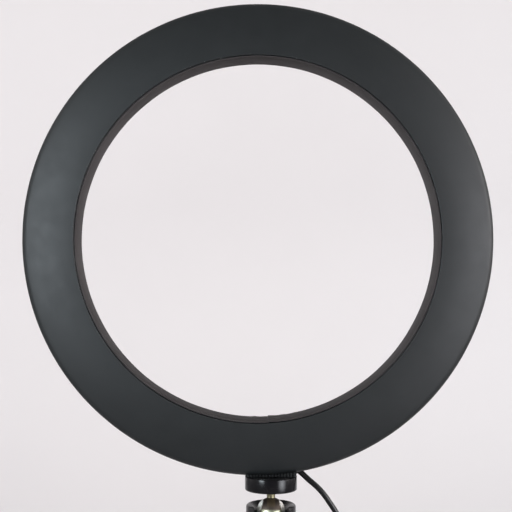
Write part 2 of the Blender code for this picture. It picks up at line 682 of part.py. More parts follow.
def make_plug():
    centre = Vector((PLUG_X, HANG_Y, PLUG_TOP))
    half = Vector((PLUG_BODY.x / 2, PLUG_BODY.y / 2, 0))
    down = Vector((0, 0, -1))
    start = around_coil(-14, COIL_R + COIL_BUNDLE_R + CABLE_R + GAP)
    end = centre + down * (PLUG_RELIEF - 1 * MM)
    route = [start, centre + Vector((0.4 * MM, 0, 1 * MM)), end]
    keep(tube("cable_end", smooth_route(route, 3.5 * MM), CABLE_R), "cable_black", ring_pivot)
    body_top = centre + down * PLUG_RELIEF
    body_low = body_top + down * PLUG_BODY.z
    body = box("usb_plug_body", body_low - half, body_top + half, 1.5 * MM)
    relief = rod("plug_relief", 3.6 * MM, body_top + down * MM, centre, 16, 2.6 * MM)
    bore = rod("plug_bore", BORE_R, centre + down * (PLUG_RELIEF - 0.5 * MM), centre - down * 3 * MM, 16)
    unite(body, relief)
    cut(body, bore)
    keep(body, "gloss_black", ring_pivot)
    shell_top = body_low + down * GAP
    shell_low = shell_top + down * METAL.z
    half = Vector((METAL.x / 2, METAL.y / 2, 0))
    wall = Vector((METAL_WALL, METAL_WALL, 0))
    shell = box("usb_plug_shell", shell_low - half, shell_top + half)
    cut(shell, box("shell_cavity", shell_low - half + wall + down * 2 * MM,
                   shell_top + half - wall + down * 0.6 * MM))
    keep(shell, "steel", ring_pivot)
    tongue = box("usb_plug_tongue", shell_low + Vector((-5.3 * MM, -1.5 * MM, 0.8 * MM)),
                 shell_top + Vector((5.3 * MM, 0.3 * MM, -0.9 * MM)))
    keep(tongue, "nylon", ring_pivot)


# ---------------------------------------------------------------- assembly

stud_hole = keep(rod("stud_hole", STUD_HOLE_R, (0, 0, 48 * MM), (0, 0, 53.6 * MM), 24))
make_back_cover()
make_front_housing()
make_liner()
make_diffuser()
make_led_board()
make_led_strip("warm")
make_led_strip("cool")
make_board_screws()
make_mount()
make_ball_head()
make_grommet()
make_lead_wires()
make_cable_lead()
make_controller()
make_coil()
make_plug()
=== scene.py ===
"""Looks of the ring light: camera, light, cables, detailed pieces and materials."""

import math

import bmesh
import bpy
from mathutils import Matrix, Vector


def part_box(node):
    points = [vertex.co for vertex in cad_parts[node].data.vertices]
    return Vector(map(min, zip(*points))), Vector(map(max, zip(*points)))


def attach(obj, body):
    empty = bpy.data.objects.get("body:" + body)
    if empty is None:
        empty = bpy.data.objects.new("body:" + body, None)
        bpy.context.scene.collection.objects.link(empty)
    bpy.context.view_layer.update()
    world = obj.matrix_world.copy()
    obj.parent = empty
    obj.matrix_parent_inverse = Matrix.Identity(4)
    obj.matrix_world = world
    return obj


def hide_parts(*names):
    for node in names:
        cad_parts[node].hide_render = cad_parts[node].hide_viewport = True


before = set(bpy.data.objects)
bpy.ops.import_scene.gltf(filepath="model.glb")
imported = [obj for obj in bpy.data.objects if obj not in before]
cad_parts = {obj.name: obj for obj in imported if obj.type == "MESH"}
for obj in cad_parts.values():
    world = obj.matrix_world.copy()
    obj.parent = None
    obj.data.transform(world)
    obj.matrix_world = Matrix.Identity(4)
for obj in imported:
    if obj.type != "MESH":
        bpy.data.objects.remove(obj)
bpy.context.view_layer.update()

MM = 0.001
RING = "ring_head"


# ---------------------------------------------------------------- places read from the frame


def span(node):
    low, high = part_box(node)
    return Vector(low), Vector(high)


def middle(node):
    low, high = span(node)
    return (low + high) / 2


housing_low, housing_high = span("front_housing")
liner_low, liner_high = span("inner_band")
RIM_R = (housing_high.x - housing_low.x) / 2
RING_CENTRE = Vector(((housing_low.x + housing_high.x) / 2, 0, (housing_low.z + housing_high.z) / 2))
BACK = span("back_cover")[0].y
FRONT = housing_high.y
SPLIT = housing_low.y - 0.15 * MM
LINER_OUTER_R = (liner_high.x - liner_low.x) / 2
LINER_R = LINER_OUTER_R - 0.6 * MM
INNER_R = LINER_OUTER_R + 0.3 * MM
WALL = 1.8 * MM
BALL = middle("ball")
BALL_R = (span("ball")[1].z - span("ball")[0].z) / 2
socket_high = span("socket_housing")[1]
disc_low, disc_high = span("lock_disc")


# ---------------------------------------------------------------- materials


class Nodes:
    """A short way to write a material's node tree."""

    def __init__(self, name):
        self.material = bpy.data.materials.new(name)
        self.material.use_nodes = True
        self.tree = self.material.node_tree
        self.shader = self.tree.nodes["Principled BSDF"]
        place = self.add("ShaderNodeTexCoord")
        self.place = place.outputs["Object"]

    def add(self, kind, **values):
        node = self.tree.nodes.new(kind)
        for key, value in values.items():
            setattr(node, key, value)
        return node

    def link(self, source, target):
        if isinstance(source, (int, float, tuple)):
            target.default_value = source
        else:
            self.tree.links.new(source, target)

    def noise(self, scale, detail=3.0, roughness=0.55, stretch=None):
        node = self.add("ShaderNodeTexNoise")
        place = self.place
        if stretch:
            mapping = self.add("ShaderNodeMapping")
            mapping.inputs["Scale"].default_value = stretch
            self.link(place, mapping.inputs["Vector"])
            place = mapping.outputs["Vector"]
        self.link(place, node.inputs["Vector"])
        node.inputs["Scale"].default_value = scale
        node.inputs["Detail"].default_value = detail
        node.inputs["Roughness"].default_value = roughness
        return node.outputs["Fac"]

    def cells(self, scale):
        node = self.add("ShaderNodeTexVoronoi", feature="F1")
        self.link(self.place, node.inputs["Vector"])
        node.inputs["Scale"].default_value = scale
        return node.outputs["Distance"]

    def ramp(self, source, low, high, out_low=0.0, out_high=1.0):
        node = self.add("ShaderNodeMapRange")
        self.link(source, node.inputs["Value"])
        for name, value in (("From Min", low), ("From Max", high), ("To Min", out_low), ("To Max", out_high)):
            node.inputs[name].default_value = value
        return node.outputs["Result"]

    def math(self, operation, a, b=0.0):
        node = self.add("ShaderNodeMath", operation=operation)
        self.link(a, node.inputs[0])
        self.link(b, node.inputs[1])
        return node.outputs["Value"]

    def axis(self, which):
        node = self.add("ShaderNodeSeparateXYZ")
        self.link(self.place, node.inputs["Vector"])
        return node.outputs[which]

    def mix(self, share, a, b):
        node = self.add("ShaderNodeMix", data_type="RGBA")
        self.link(share, node.inputs[0])
        self.link(a, node.inputs[6])
        self.link(b, node.inputs[7])
        return node.outputs[2]

    def bump(self, height, distance, strength=1.0, under=None):
        node = self.add("ShaderNodeBump")
        self.link(height, node.inputs["Height"])
        node.inputs["Distance"].default_value = distance
        node.inputs["Strength"].default_value = strength
        if under is not None:
            self.link(under, node.inputs["Normal"])
        return node.outputs["Normal"]

    def set(self, **values):
        names = {"colour": "Base Color", "rough": "Roughness", "metal": "Metallic", "normal": "Normal",
                 "specular": "Specular IOR Level", "sheen": "Sheen Weight", "subsurface": "Subsurface Weight"}
        for key, value in values.items():
            self.link(value, self.shader.inputs[names[key]])
        return self.material


def colour(red, green, blue):
    return (red, green, blue, 1.0)


def moulded(name, base, rough, grain_mm=0.35, grain_depth=0.012, specular=0.5, spread=0.25):
    """Moulded plastic or rubber: a fine grain, slow changes of shade, and faint handling marks."""
    n = Nodes(name)
    slow = n.ramp(n.noise(35, 4), 0.3, 0.7)
    darker = tuple(c * (1 - spread) for c in base)
    lighter = tuple(c * (1 + spread) for c in base)
    shade = n.mix(slow, colour(*darker), colour(*lighter))
    grain = n.noise(1 / (grain_mm * MM), 2, 0.6)
    marks = n.ramp(n.noise(90, 6, 0.7), 0.35, 0.7, rough - 0.06, rough + 0.06)
    normal = n.bump(grain, grain_depth * MM, 0.9)
    return n.set(colour=shade, rough=marks, normal=normal, specular=specular)


def polished(name, base, rough, turned_axis=None, tarnish=0.1):
    """Bare metal: turning lines round an axis where given, smudges in its roughness."""
    n = Nodes(name)
    smudge = n.ramp(n.noise(220, 4, 0.6), 0.35, 0.7, rough * 0.7, rough * 1.6 + 0.01)
    dull = colour(*(c * (1 - tarnish) for c in base))
    shade = n.mix(n.ramp(n.noise(400, 5), 0.4, 0.75), colour(*base), dull)
    height = n.noise(1600, 3)
    if turned_axis is not None:
        stretch = [6.0, 6.0, 6.0]
        stretch[turned_axis] = 2600.0
        height = n.noise(1.0, 3, 0.6, stretch)
    normal = n.bump(height, 0.004 * MM, 0.5)
    return n.set(colour=shade, rough=smudge, metal=1.0, normal=normal)


def ball_material():
    """Polished steel with an olive cast. Painted reflections on it: a dark top round the neck for the black
    cup, a brown patch at the stem's foot for the stem, and a white crescent on each side for the pale
    backdrop."""
    n = Nodes("polished_ball_steel")
    height = n.axis("Z")
    side = n.math("ABSOLUTE", n.axis("X"))
    wander = n.ramp(n.noise(700, 4), 0.3, 0.7, -0.25 * MM, 0.25 * MM)
    # White crescents on each side of the ball: a painted reflection of the pale backdrop at its edges.
    crescent_from = n.math("ADD", n.ramp(height, BALL.z + 1 * MM, BALL.z + 6 * MM, 6.1 * MM, 4.4 * MM), wander)
    painted_crescents = n.ramp(n.math("SUBTRACT", side, crescent_from), -0.1 * MM, 0.4 * MM)
    # A dark top round the neck: a painted reflection of the black cup above the ball.
    painted_dark_top = n.ramp(n.math("ADD", height, wander), BALL.z + 1.6 * MM, BALL.z + 2.8 * MM)
    # A brown patch where the stem meets the ball: a painted reflection of the stem's foot.
    foot = n.math("MULTIPLY", n.ramp(side, 1.8 * MM, 2.6 * MM, 1.0, 0.0),
                  n.ramp(height, BALL.z + 3.5 * MM, BALL.z + 5.5 * MM))
    bare = n.mix(n.ramp(n.noise(300, 4), 0.35, 0.7), colour(0.50, 0.51, 0.36), colour(0.42, 0.43, 0.30))
    shade = n.mix(painted_dark_top, bare, n.mix(foot, colour(0.105, 0.086, 0.072), colour(0.20, 0.155, 0.10)))
    # The white of the crescents is a painted reflection; the ball is not metal there.
    crescent_white = n.mix(n.ramp(n.noise(1500, 3), 0.4, 0.65), colour(0.92, 0.91, 0.86), colour(0.70, 0.68, 0.60))
    shade = n.mix(painted_crescents, shade, crescent_white)
    rough = n.math("ADD", n.ramp(n.noise(500, 4), 0.35, 0.7, 0.38, 0.46), n.math("MULTIPLY", painted_dark_top, 0.15))
    metal = n.math("SUBTRACT", 1.0, painted_crescents)
    return n.set(colour=shade, rough=rough, metal=metal, normal=n.bump(n.noise(1600, 3), 0.004 * MM, 0.4))


def cover_material():
    """Fine-textured black shell: leathery micro grain, soft mottling, pale specks along its inner edge, most
    of them at the upper left.
    """
    n = Nodes("cover_matte_black")
    x = n.math("SUBTRACT", n.axis("X"), RING_CENTRE.x)
    z = n.math("SUBTRACT", n.axis("Z"), RING_CENTRE.z)
    radius = n.math("SQRT", n.math("ADD", n.math("MULTIPLY", x, x), n.math("MULTIPLY", z, z)))
    mottling = n.ramp(n.noise(60, 5, 0.6), 0.3, 0.7)
    shade = n.mix(mottling, colour(0.0069, 0.0082, 0.0086), colour(0.0093, 0.0108, 0.0112))
    # Pale specks along the inner edge, more of them towards the upper left.
    near_edge = n.ramp(radius, INNER_R + 0.2 * MM, INNER_R + 1.1 * MM, 1.0, 0.0)
    specks = n.ramp(n.noise(900, 2, 0.7), 0.66, 0.72)
    upper_left = n.ramp(n.math("SUBTRACT", n.math("MULTIPLY", z, 0.8), x), -0.02, 0.10, 0.15, 1.0)
    edge_specks = n.math("MULTIPLY", n.math("MULTIPLY", near_edge, specks), upper_left)
    shade = n.mix(edge_specks, shade, colour(0.20, 0.20, 0.195))
    grain = n.noise(1 / (0.42 * MM), 3, 0.65)
    pores = n.cells(1 / (0.55 * MM))
    normal = n.bump(grain, 0.030 * MM, 0.8, n.bump(pores, 0.015 * MM, 0.6))
    rough = n.ramp(n.noise(140, 5, 0.7), 0.3, 0.7, 0.47, 0.55)
    return n.set(colour=shade, rough=rough, normal=normal, specular=0.42)


def liner_material():
    n = Nodes("liner_strip_black")
    slow = n.ramp(n.noise(45, 4), 0.3, 0.7)
    shade = n.mix(slow, colour(0.029, 0.0245, 0.0245), colour(0.042, 0.036, 0.0355))
    fibres = n.noise(1.0, 4, 0.7, (700, 3000, 700))
    normal = n.bump(fibres, 0.03 * MM, 0.8)
    return n.set(colour=shade, rough=0.78, normal=normal, specular=0.3)


def diffuser_material():
    """Milky plastic over the chips."""
    n = Nodes("diffuser_milky")
    cloud = n.ramp(n.noise(120, 4), 0.3, 0.7)
    shade = n.mix(cloud, colour(0.84, 0.84, 0.82), colour(0.89, 0.89, 0.875))
    grain = n.noise(1 / (0.3 * MM), 2, 0.6)
    n.shader.inputs["Subsurface Scale"].default_value = 2 * MM
    return n.set(colour=shade, rough=n.ramp(n.noise(200, 4), 0.3, 0.7, 0.36, 0.46), subsurface=0.35,
                 normal=n.bump(grain, 0.008 * MM, 0.6))


def strap_material():
    """Woven hook-and-loop tape."""
    n = Nodes("strap_woven_black")
    weave = n.cells(1 / (0.45 * MM))
    fuzz = n.noise(1 / (0.25 * MM), 4, 0.8)
    shade = n.mix(n.ramp(weave, 0.1, 0.5), colour(0.030, 0.030, 0.032), colour(0.010, 0.010, 0.011))
    normal = n.bump(weave, 0.12 * MM, 0.9, n.bump(fuzz, 0.06 * MM, 0.7))
    return n.set(colour=shade, rough=0.92, normal=normal, sheen=0.35, specular=0.2)


def board_material(name, base, pitch_mm):
    """A printed board: solder mask with faint tracks under it."""
    n = Nodes(name)
    tracks = n.ramp(n.cells(1 / (pitch_mm * MM)), 0.28, 0.34)
    shade = n.mix(tracks, colour(*(c * 1.12 for c in base)), colour(*base))
    return n.set(colour=shade, rough=n.ramp(n.noise(300, 3), 0.3, 0.7, 0.32, 0.48),
                 normal=n.bump(tracks, 0.02 * MM, 0.6))


def chip_material(name, phosphor):
    """White strip with phosphor dots: the chips stand a little higher than the strip."""
    n = Nodes(name)
    strip_back = span("led_strip_warm")[0].y
    raised = n.ramp(n.axis("Y"), strip_back + 0.45 * MM, strip_back + 0.55 * MM)
    dots = n.ramp(n.noise(1500, 2), 0.4, 0.6, 0.85, 1.0)
    tinted = n.mix(dots, colour(*(c * 0.85 for c in phosphor)), colour(*phosphor))
    shade = n.mix(raised, colour(0.80, 0.80, 0.78), tinted)
    return n.set(colour=shade, rough=n.ramp(n.noise(500, 2), 0.3, 0.7, 0.30, 0.42))


MATERIALS = {
    "cover": cover_material(),
    "liner": liner_material(),
    "housing": moulded("housing_satin_black", (0.016, 0.0165, 0.0175), 0.46, 0.4, 0.02),
    "diffuser": diffuser_material(),
    "board_white": board_material("led_board_white", (0.74, 0.74, 0.72), 2.6),
    "board_green": board_material("controller_board_green", (0.020, 0.15, 0.06), 1.6),
    "chip_warm": chip_material("led_chip_warm", (0.85, 0.55, 0.14)),
    "chip_cool": chip_material("led_chip_cool", (0.86, 0.78, 0.32)),
    "steel": polished("plated_steel", (0.58, 0.58, 0.57), 0.26, None, 0.2),
    "brass": polished("turned_brass", (0.74, 0.53, 0.24), 0.24, 2, 0.2),
    "chrome": ball_material(),
    "stud": polished("stud_plated", (0.29, 0.265, 0.165), 0.32, 2, 0.3),
    "gloss": moulded("gloss_anodised_black", (0.0095, 0.0085, 0.0095), 0.28, 1.2, 0.003, 0.55, 0.2),
    "disc": moulded("disc_anodised_black", (0.0068, 0.0062, 0.0072), 0.19, 1.2, 0.003, 0.23, 0.2),
    "knob": moulded("knob_moulded_black", (0.010, 0.010, 0.011), 0.26, 0.6, 0.008, 0.5),
    "rubber": moulded("rubber_black", (0.014, 0.014, 0.0145), 0.74, 0.25, 0.03, 0.35),
    "nylon": moulded("nylon_natural", (0.66, 0.64, 0.58), 0.46, 0.5, 0.01, 0.4, 0.05),
    "cable": moulded("cable_jacket_black", (0.0065, 0.0060, 0.0060), 0.22, 0.9, 0.006, 0.42, 0.2),
    "wire_red": moulded("wire_jacket_red", (0.50, 0.02, 0.015), 0.36, 0.5, 0.01),
    "wire_white": moulded("wire_jacket_white", (0.78, 0.78, 0.74), 0.40, 0.5, 0.01, 0.5, 0.05),
    "strap": strap_material(),
    "pad": moulded("pad_ribbed_black", (0.007, 0.007, 0.0072), 0.36, 0.4, 0.01, 0.3),
    "controller": moulded("controller_satin_black", (0.014, 0.0145, 0.015), 0.40, 0.35, 0.016),
    "button": moulded("button_soft_black", (0.020, 0.020, 0.021), 0.55, 0.3, 0.012, 0.4),
    "mark": moulded("printed_mark_grey", (0.42, 0.42, 0.42), 0.5, 0.3, 0.004, 0.4, 0.08),
}


# ---------------------------------------------------------------- mesh helpers


def arc(centre, radius, start, end, count):
    """Points on an arc, from angle start to end in degrees."""
    angles = [math.radians(start + (end - start) * i / (count - 1)) for i in range(count)]
    return [(centre[0] + radius * math.cos(a), centre[1] + radius * math.sin(a)) for a in angles]


def soften(outline, radius, steps=4, closed=True):
    """An outline with its corners rounded off by about a radius."""
    points = [Vector(p) for p in outline]
    count = len(points)
    out = []
    for i, here in enumerate(points):
        if not closed and i in (0, count - 1):
            out.append(tuple(here))
            continue
        before, after = points[i - 1] - here, points[(i + 1) % count] - here
        turn = math.pi - before.angle(after)
        if turn < math.radians(12):
            out.append(tuple(here))
            continue
        reach = min(radius * math.tan(turn / 2), before.length * 0.45, after.length * 0.45)
        first, last = here + before.normalized() * reach, here + after.normalized() * reach
        for k in range(steps + 1):
            t = k / steps
            out.append(tuple(first * (1 - t) ** 2 + here * 2 * t * (1 - t) + last * t**2))
    return out


def aim(direction):
    return Vector(direction).to_track_quat("Z", "Y").to_matrix().to_4x4()


def piece(name, edit, material, body, smooth_angle=40, replaces=()):
    """Makes a piece of a bmesh, shades it, and hangs it on its body."""
    bmesh.ops.recalc_face_normals(edit, faces=edit.faces)
    mesh = bpy.data.meshes.new(name)
    edit.to_mesh(mesh)
    edit.free()
    mesh.shade_smooth()
    mesh.set_sharp_from_angle(angle=math.radians(smooth_angle))
    mesh.materials.append(MATERIALS[material])
    obj = bpy.data.objects.new(name, mesh)
    bpy.context.scene.collection.objects.link(obj)
    place_on(obj, body, replaces)
    return obj


def place_on(obj, body, replaces=()):
    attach(obj, body)
    if replaces:
        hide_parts(*replaces)


def grid(edit, rows, closed_rows=True, closed_columns=True):
    """Quads between rows of vertices. A row of one vertex is a pole."""
    count = len(rows)
    for i in range(count if closed_rows else count - 1):
        here, there = rows[i], rows[(i + 1) % count]
        across = max(len(here), len(there))
        for j in range(across if closed_columns else across - 1):
            k = (j + 1) % across
            corners = [here[j % len(here)], here[k % len(here)], there[k % len(there)], there[j % len(there)]]
            unique = list(dict.fromkeys(corners))
            if len(unique) > 2:
                edit.faces.new(unique)


def revolved(outline, steps=160, place=(0, 0, 0), facing=(0, 0, 1), shape=None):
    """A turned bmesh. outline is (radius, height) points; it closes into a ring unless it starts and
    ends on the axis. shape(radius, height, angle) may change a point's radius."""
    matrix = Matrix.Translation(place) @ aim(facing)
    edit = bmesh.new()
    rows = []
    for radius, height in outline:
        if radius < 1e-9:
            rows.append([edit.verts.new(matrix @ Vector((0, 0, height)))])
            continue
        row = []
        for i in range(steps):
            a = 2 * math.pi * i / steps
            r = shape(radius, height, a) if shape else radius
            row.append(edit.verts.new(matrix @ Vector((r * math.cos(a), r * math.sin(a), height))))
        rows.append(row)
    grid(edit, rows, closed_rows=outline[0][0] > 1e-9)
    return edit


def rounded_box(low, high, radius, segments=4):
    low, high = Vector(low), Vector(high)
    edit = bmesh.new()
    matrix = Matrix.Translation((low + high) / 2) @ Matrix.Diagonal((*(high - low), 1))
    bmesh.ops.create_cube(edit, size=1, matrix=matrix)
    bmesh.ops.bevel(edit, geom=edit.edges[:], offset=radius, segments=segments, profile=0.5,
                    affect="EDGES", clamp_overlap=True)
    return edit


def add_rod(edit, radius, start, end, steps=24, end_radius=None):
    start, end = Vector(start), Vector(end)
    bmesh.ops.create_cone(
        edit, cap_ends=True, segments=steps, radius1=radius,
        radius2=radius if end_radius is None else end_radius, depth=(end - start).length,
        matrix=Matrix.Translation((start + end) / 2) @ aim(end - start),
    )
    return edit


def helper(name, edit):
    """An object for the modifiers, removed once they are applied."""
    bmesh.ops.recalc_face_normals(edit, faces=edit.faces)
    mesh = bpy.data.meshes.new(name)
    edit.to_mesh(mesh)
    edit.free()
    obj = bpy.data.objects.new(name, mesh)
    bpy.context.scene.collection.objects.link(obj)
    return obj


def carve(edit, cutters, bevel=0.0, operation="DIFFERENCE"):
    """A bmesh with cutters taken out of it, or joined to it with UNION. A bevel rounds its hard edges."""
    body = helper("carved", edit)
    tools = [helper(f"tool_{i}", cutter) for i, cutter in enumerate(cutters)]
    for tool in tools:
        change = body.modifiers.new("cut", "BOOLEAN")
        change.operation = operation
        change.object = tool
    if bevel:
        rounding = body.modifiers.new("rounding", "BEVEL")
        rounding.width = bevel
        rounding.segments = 3
        rounding.limit_method = "ANGLE"
        rounding.angle_limit = math.radians(32)
        rounding.use_clamp_overlap = True
        rounding.harden_normals = False
    bpy.context.view_layer.update()
    graph = bpy.context.evaluated_depsgraph_get()
    result = bpy.data.meshes.new_from_object(body.evaluated_get(graph))
    out = bmesh.new()
    out.from_mesh(result)
    for obj in (body, *tools):
        bpy.data.objects.remove(obj, do_unlink=True)
    return out


def on_ring(angle, radius, depth):
    a = math.radians(angle)
    return RING_CENTRE + Vector((radius * math.cos(a), depth, radius * math.sin(a)))


def ring_revolved(outline, steps=256):
    """A turned bmesh about the ring head's axis; heights in the outline are depths."""
    edit = bmesh.new()
    rows = [
        [edit.verts.new(on_ring(360 * i / steps, radius, depth)) for i in range(steps)]
        for radius, depth in outline
    ]
    grid(edit, rows)
    return edit


# ---------------------------------------------------------------- camera

IMAGE_PX = 512  # the picture is square
LENS_PX = 1105.5  # focal length in the picture's pixels
CAMERA_DISTANCE = 0.600  # from the cover's inner edge
camera_data = bpy.data.cameras.new("camera")
camera_data.sensor_width = 36.0
camera_data.lens = LENS_PX / IMAGE_PX * camera_data.sensor_width
camera_data.clip_start = 0.01
camera = bpy.data.objects.new("camera", camera_data)
bpy.context.scene.collection.objects.link(camera)
camera.location = (RING_CENTRE.x - 3.2 * MM, BACK - CAMERA_DISTANCE, RING_CENTRE.z - 18.7 * MM)
camera.rotation_euler = (math.radians(90), 0, 0)
camera_data.shift_x = 4 / IMAGE_PX
camera_data.shift_y = 17.6 / IMAGE_PX
bpy.context.scene.camera = camera


# ---------------------------------------------------------------- cables

CABLE_R = 1.6 * MM
BORE_R = CABLE_R + 0.15 * MM  # of what the cable passes through
CABLE_Y = 2.8 * MM
CABLE_EXIT = Vector((15.0 * MM, CABLE_Y, 52.6 * MM))
CABLE_DROP = math.radians(35)
exit_way = Vector((math.cos(CABLE_DROP), 0, -math.sin(CABLE_DROP)))
shell_low, shell_high = span("controller_shell_front")
HANG_X = (shell_low.x + shell_high.x) / 2
HANG_Y = 4.0 * MM
CONTROLLER_TOP, CONTROLLER_BOTTOM = shell_high.z, shell_low.z
coil_low, coil_high = span("cable_coil")
COIL_CENTRE = (coil_low + coil_high) / 2
COIL_R = 19.2 * MM


def smooth_route(points, spacing):
    """Points a spacing apart on a Catmull-Rom curve through a route's points."""
    places = [Vector(p) for p in points]
    places = [2 * places[0] - places[1], *places, 2 * places[-1] - places[-2]]
    fine = []
    for a, b, c, d in zip(places, places[1:], places[2:], places[3:]):
        for i in range(24):
            t = i / 24
            fine.append(0.5 * (2 * b + (c - a) * t + (2 * a - 5 * b + 4 * c - d) * t**2
                               + (3 * b - a - 3 * c + d) * t**3))
    fine.append(places[-2])
    route, run = [fine[0]], 0.0
    for a, b in zip(fine, fine[1:]):
        run += (b - a).length
        if run >= spacing:
            route.append(b)
            run = 0.0
    if (route[-1] - fine[-1]).length > spacing / 2:
        route.append(fine[-1])
    else:
        route[-1] = fine[-1]
    return route


def cable(name, points):
    curve = bpy.data.curves.new(name, "CURVE")
    curve.dimensions = "3D"
    curve.bevel_depth = CABLE_R
    curve.bevel_resolution = 5
    curve.use_fill_caps = True
    spline = curve.splines.new("POLY")
    spline.points.add(len(points) - 1)
    spline.use_smooth = True
    for knot, place in zip(spline.points, points):
        knot.co = (*place, 1)
    curve.materials.append(MATERIALS["cable"])
    obj = bpy.data.objects.new(name, curve)
    bpy.context.scene.collection.objects.link(obj)
    return obj


def lead_route():
    route = [CABLE_EXIT - exit_way * 5 * MM, CABLE_EXIT]
    bend = [(17.6, 50.5), (20.9, 47.4), (25.5, 43.4), (29.2, 39.4), (32.4, 34.9), (35.8, 29.7),
            (39.8, 22.6), (42.9, 13.5), (44.9, 3.0), (45.7, -2.5), (46.0, -11.5), (46.0, -22.5)]
    drop = CABLE_EXIT.z - CONTROLLER_TOP
    for x, z in bend:
        lower = (CABLE_EXIT.z - z * MM) / drop
        route.append(Vector((x * MM, CABLE_Y + (HANG_Y - CABLE_Y) * min(1, lower), z * MM)))
    return smooth_route(route, 1.6 * MM)


# Places of the turns in the bundle's section: outwards in quarter pitches, sideways in half rows.
COIL_PITCH = 3.3 * MM
COIL_SITES = [(7, -1), (5, -3), (1, -3), (-3, -3), (-5, -1), (-1, -1), (3, -1),
              (5, 1), (1, 1), (-3, 1), (-7, 1), (-5, 3), (-1, 3), (3, 3)]


def coil_turns(start_angle, per_turn=36):
    """The spare cable's turns, clockwise seen from behind. Each turn lies in its own place in the
    bundle's section and steps over to its neighbour in the last part of the turn."""
    points = []
    for i in range(len(COIL_SITES) * per_turn):
        turns = i / per_turn
        here = COIL_SITES[int(turns)]
        there = COIL_SITES[min(int(turns) + 1, len(COIL_SITES) - 1)]
        share = max(0.0, (turns % 1 - 0.7) / 0.3)
        share = share * share * (3 - 2 * share)
        out, side = (a + (b - a) * share for a, b in zip(here, there))
        sway = 0.09 * MM * math.sin(7.3 * turns)
        angle = math.radians(start_angle) - 2 * math.pi * turns
        radius = COIL_R + out * COIL_PITCH / 4 + sway
        depth = side * COIL_PITCH * math.sqrt(3) / 4
        points.append(COIL_CENTRE + Vector((radius * math.cos(angle), depth, radius * math.sin(angle))))
    return points


def tail_route():
    """Controller to coil, round the coil, and out of it to the plug."""
    drop = [(0, 4.0), (0, -4.0), (0, -11.0), (0.9, -18.5), (3.4, -26.5), (6.8, -34.0)]
    first = [Vector((HANG_X + x * MM, HANG_Y, CONTROLLER_BOTTOM + z * MM)) for x, z in drop]
    turns = coil_turns(4)
    plug_low, plug_high = span("usb_plug_body")
    plug_x = (plug_low.x + plug_high.x) / 2
    leave = [Vector((plug_x + 1.6 * MM, HANG_Y + 5.2 * MM, COIL_CENTRE.z + 6.0 * MM)),
             Vector((plug_x + 1.2 * MM, HANG_Y + 3.0 * MM, COIL_CENTRE.z - 6.0 * MM)),
             Vector((plug_x, HANG_Y, plug_high.z + 2 * MM)),
             Vector((plug_x, HANG_Y, plug_high.z - 5.5 * MM))]
    route = smooth_route([*first, turns[0]], 1.8 * MM)
    end = smooth_route([turns[-4], *leave], 1.8 * MM)
    return [*route[:-1], *turns[:-4], *end]


lead_points = lead_route()
tail_points = tail_route()
cable_lead = cable("usb_cable_lead", lead_points)
place_on(cable_lead, RING, ["cable_lead"])
cable_tail = cable("usb_cable_tail_and_coil", tail_points)
place_on(cable_tail, RING, ["cable_tail", "cable_coil", "cable_end"])


# ---------------------------------------------------------------- ring head

STUD_HOLE_R = 5.6 * MM  # in the rim
FOOT_HALF = 13.9 * MM  # of the landing under the rim, along X
FOOT_BOTTOM = 50.55 * MM
WIRE_HOLE = (18 * MM, 65 * MM)  # X and Z of the wires' hole in the housing's floor
WIRE_HOLE_R = 3.6 * MM


def crown_outline(depth_in, steps=(10, 20)):
    """The back cover's outline from its rim to its inner edge, or a line a depth inside it."""
    near, far = math.radians(5.0), math.radians(20.0)
    fillet = 5.0 * MM
    fillet_r = RIM_R - fillet
    outer_r = fillet_r + fillet * math.sin(far)
    inner_r = INNER_R + 0.4 * MM
    crown_r = (outer_r - inner_r) / (math.sin(far) - math.sin(near))
    centre = (inner_r - crown_r * math.sin(near), BACK + crown_r * math.cos(near))
    fillet_z = centre[1] - (crown_r - fillet) * math.cos(far)
    first_slope = 5.0 + (0.9 if depth_in else 0)
    rim = arc((fillet_r, fillet_z), fillet - depth_in, 0, -70, steps[0])
    crown = arc(centre, crown_r - depth_in, -70, -90 + first_slope, steps[1])
    return rim + crown[1:]


def stud_hole():
    return add_rod(bmesh.new(), STUD_HOLE_R, (0, 0, 45 * MM), (0, 0, 53 * MM), 48)


def rim_foot(low_y, high_y):
    """The flat landing moulded under the rim, on which the locking disc presses; its edge is ribbed."""
    foot = rounded_box((-FOOT_HALF, low_y, FOOT_BOTTOM), (FOOT_HALF, high_y, 56 * MM), 0.15 * MM, 1)
    inside = add_rod(bmesh.new(), RIM_R - WALL / 2, (RING_CENTRE.x, BACK, RING_CENTRE.z),
                     (RING_CENTRE.x, FRONT, RING_CENTRE.z), 400)
    grooves = bmesh.new()
    groove = Matrix.Diagonal((0.95 * MM, 5 * MM, 8 * MM, 1))
    for i in range(-8, 9):
        place = Matrix.Translation((i * 1.7 * MM, low_y, 52.5 * MM))
        bmesh.ops.create_cube(grooves, size=1, matrix=place @ groove)
    return carve(foot, [inside, grooves])


def make_back_cover():
    edge = SPLIT - 0.15 * MM
    lip = arc((INNER_R + 0.45 * MM, BACK + 0.45 * MM), 0.45 * MM, -90, -180, 6)
    outline = [(RIM_R - 0.25 * MM, edge), (RIM_R, edge - 0.3 * MM), *crown_outline(0), *lip]
    outline += [(INNER_R, edge), (INNER_R + WALL, edge), *reversed(crown_outline(WALL, (4, 6)))]
    outline += [(RIM_R - WALL, edge)]
    cover = carve(ring_revolved(outline), [rim_foot(BACK + 4.5 * MM, edge)], operation="UNION")
    cover = carve(cover, [stud_hole()])
    piece("cover_shell", cover, "cover", RING, 30, ["back_cover"])


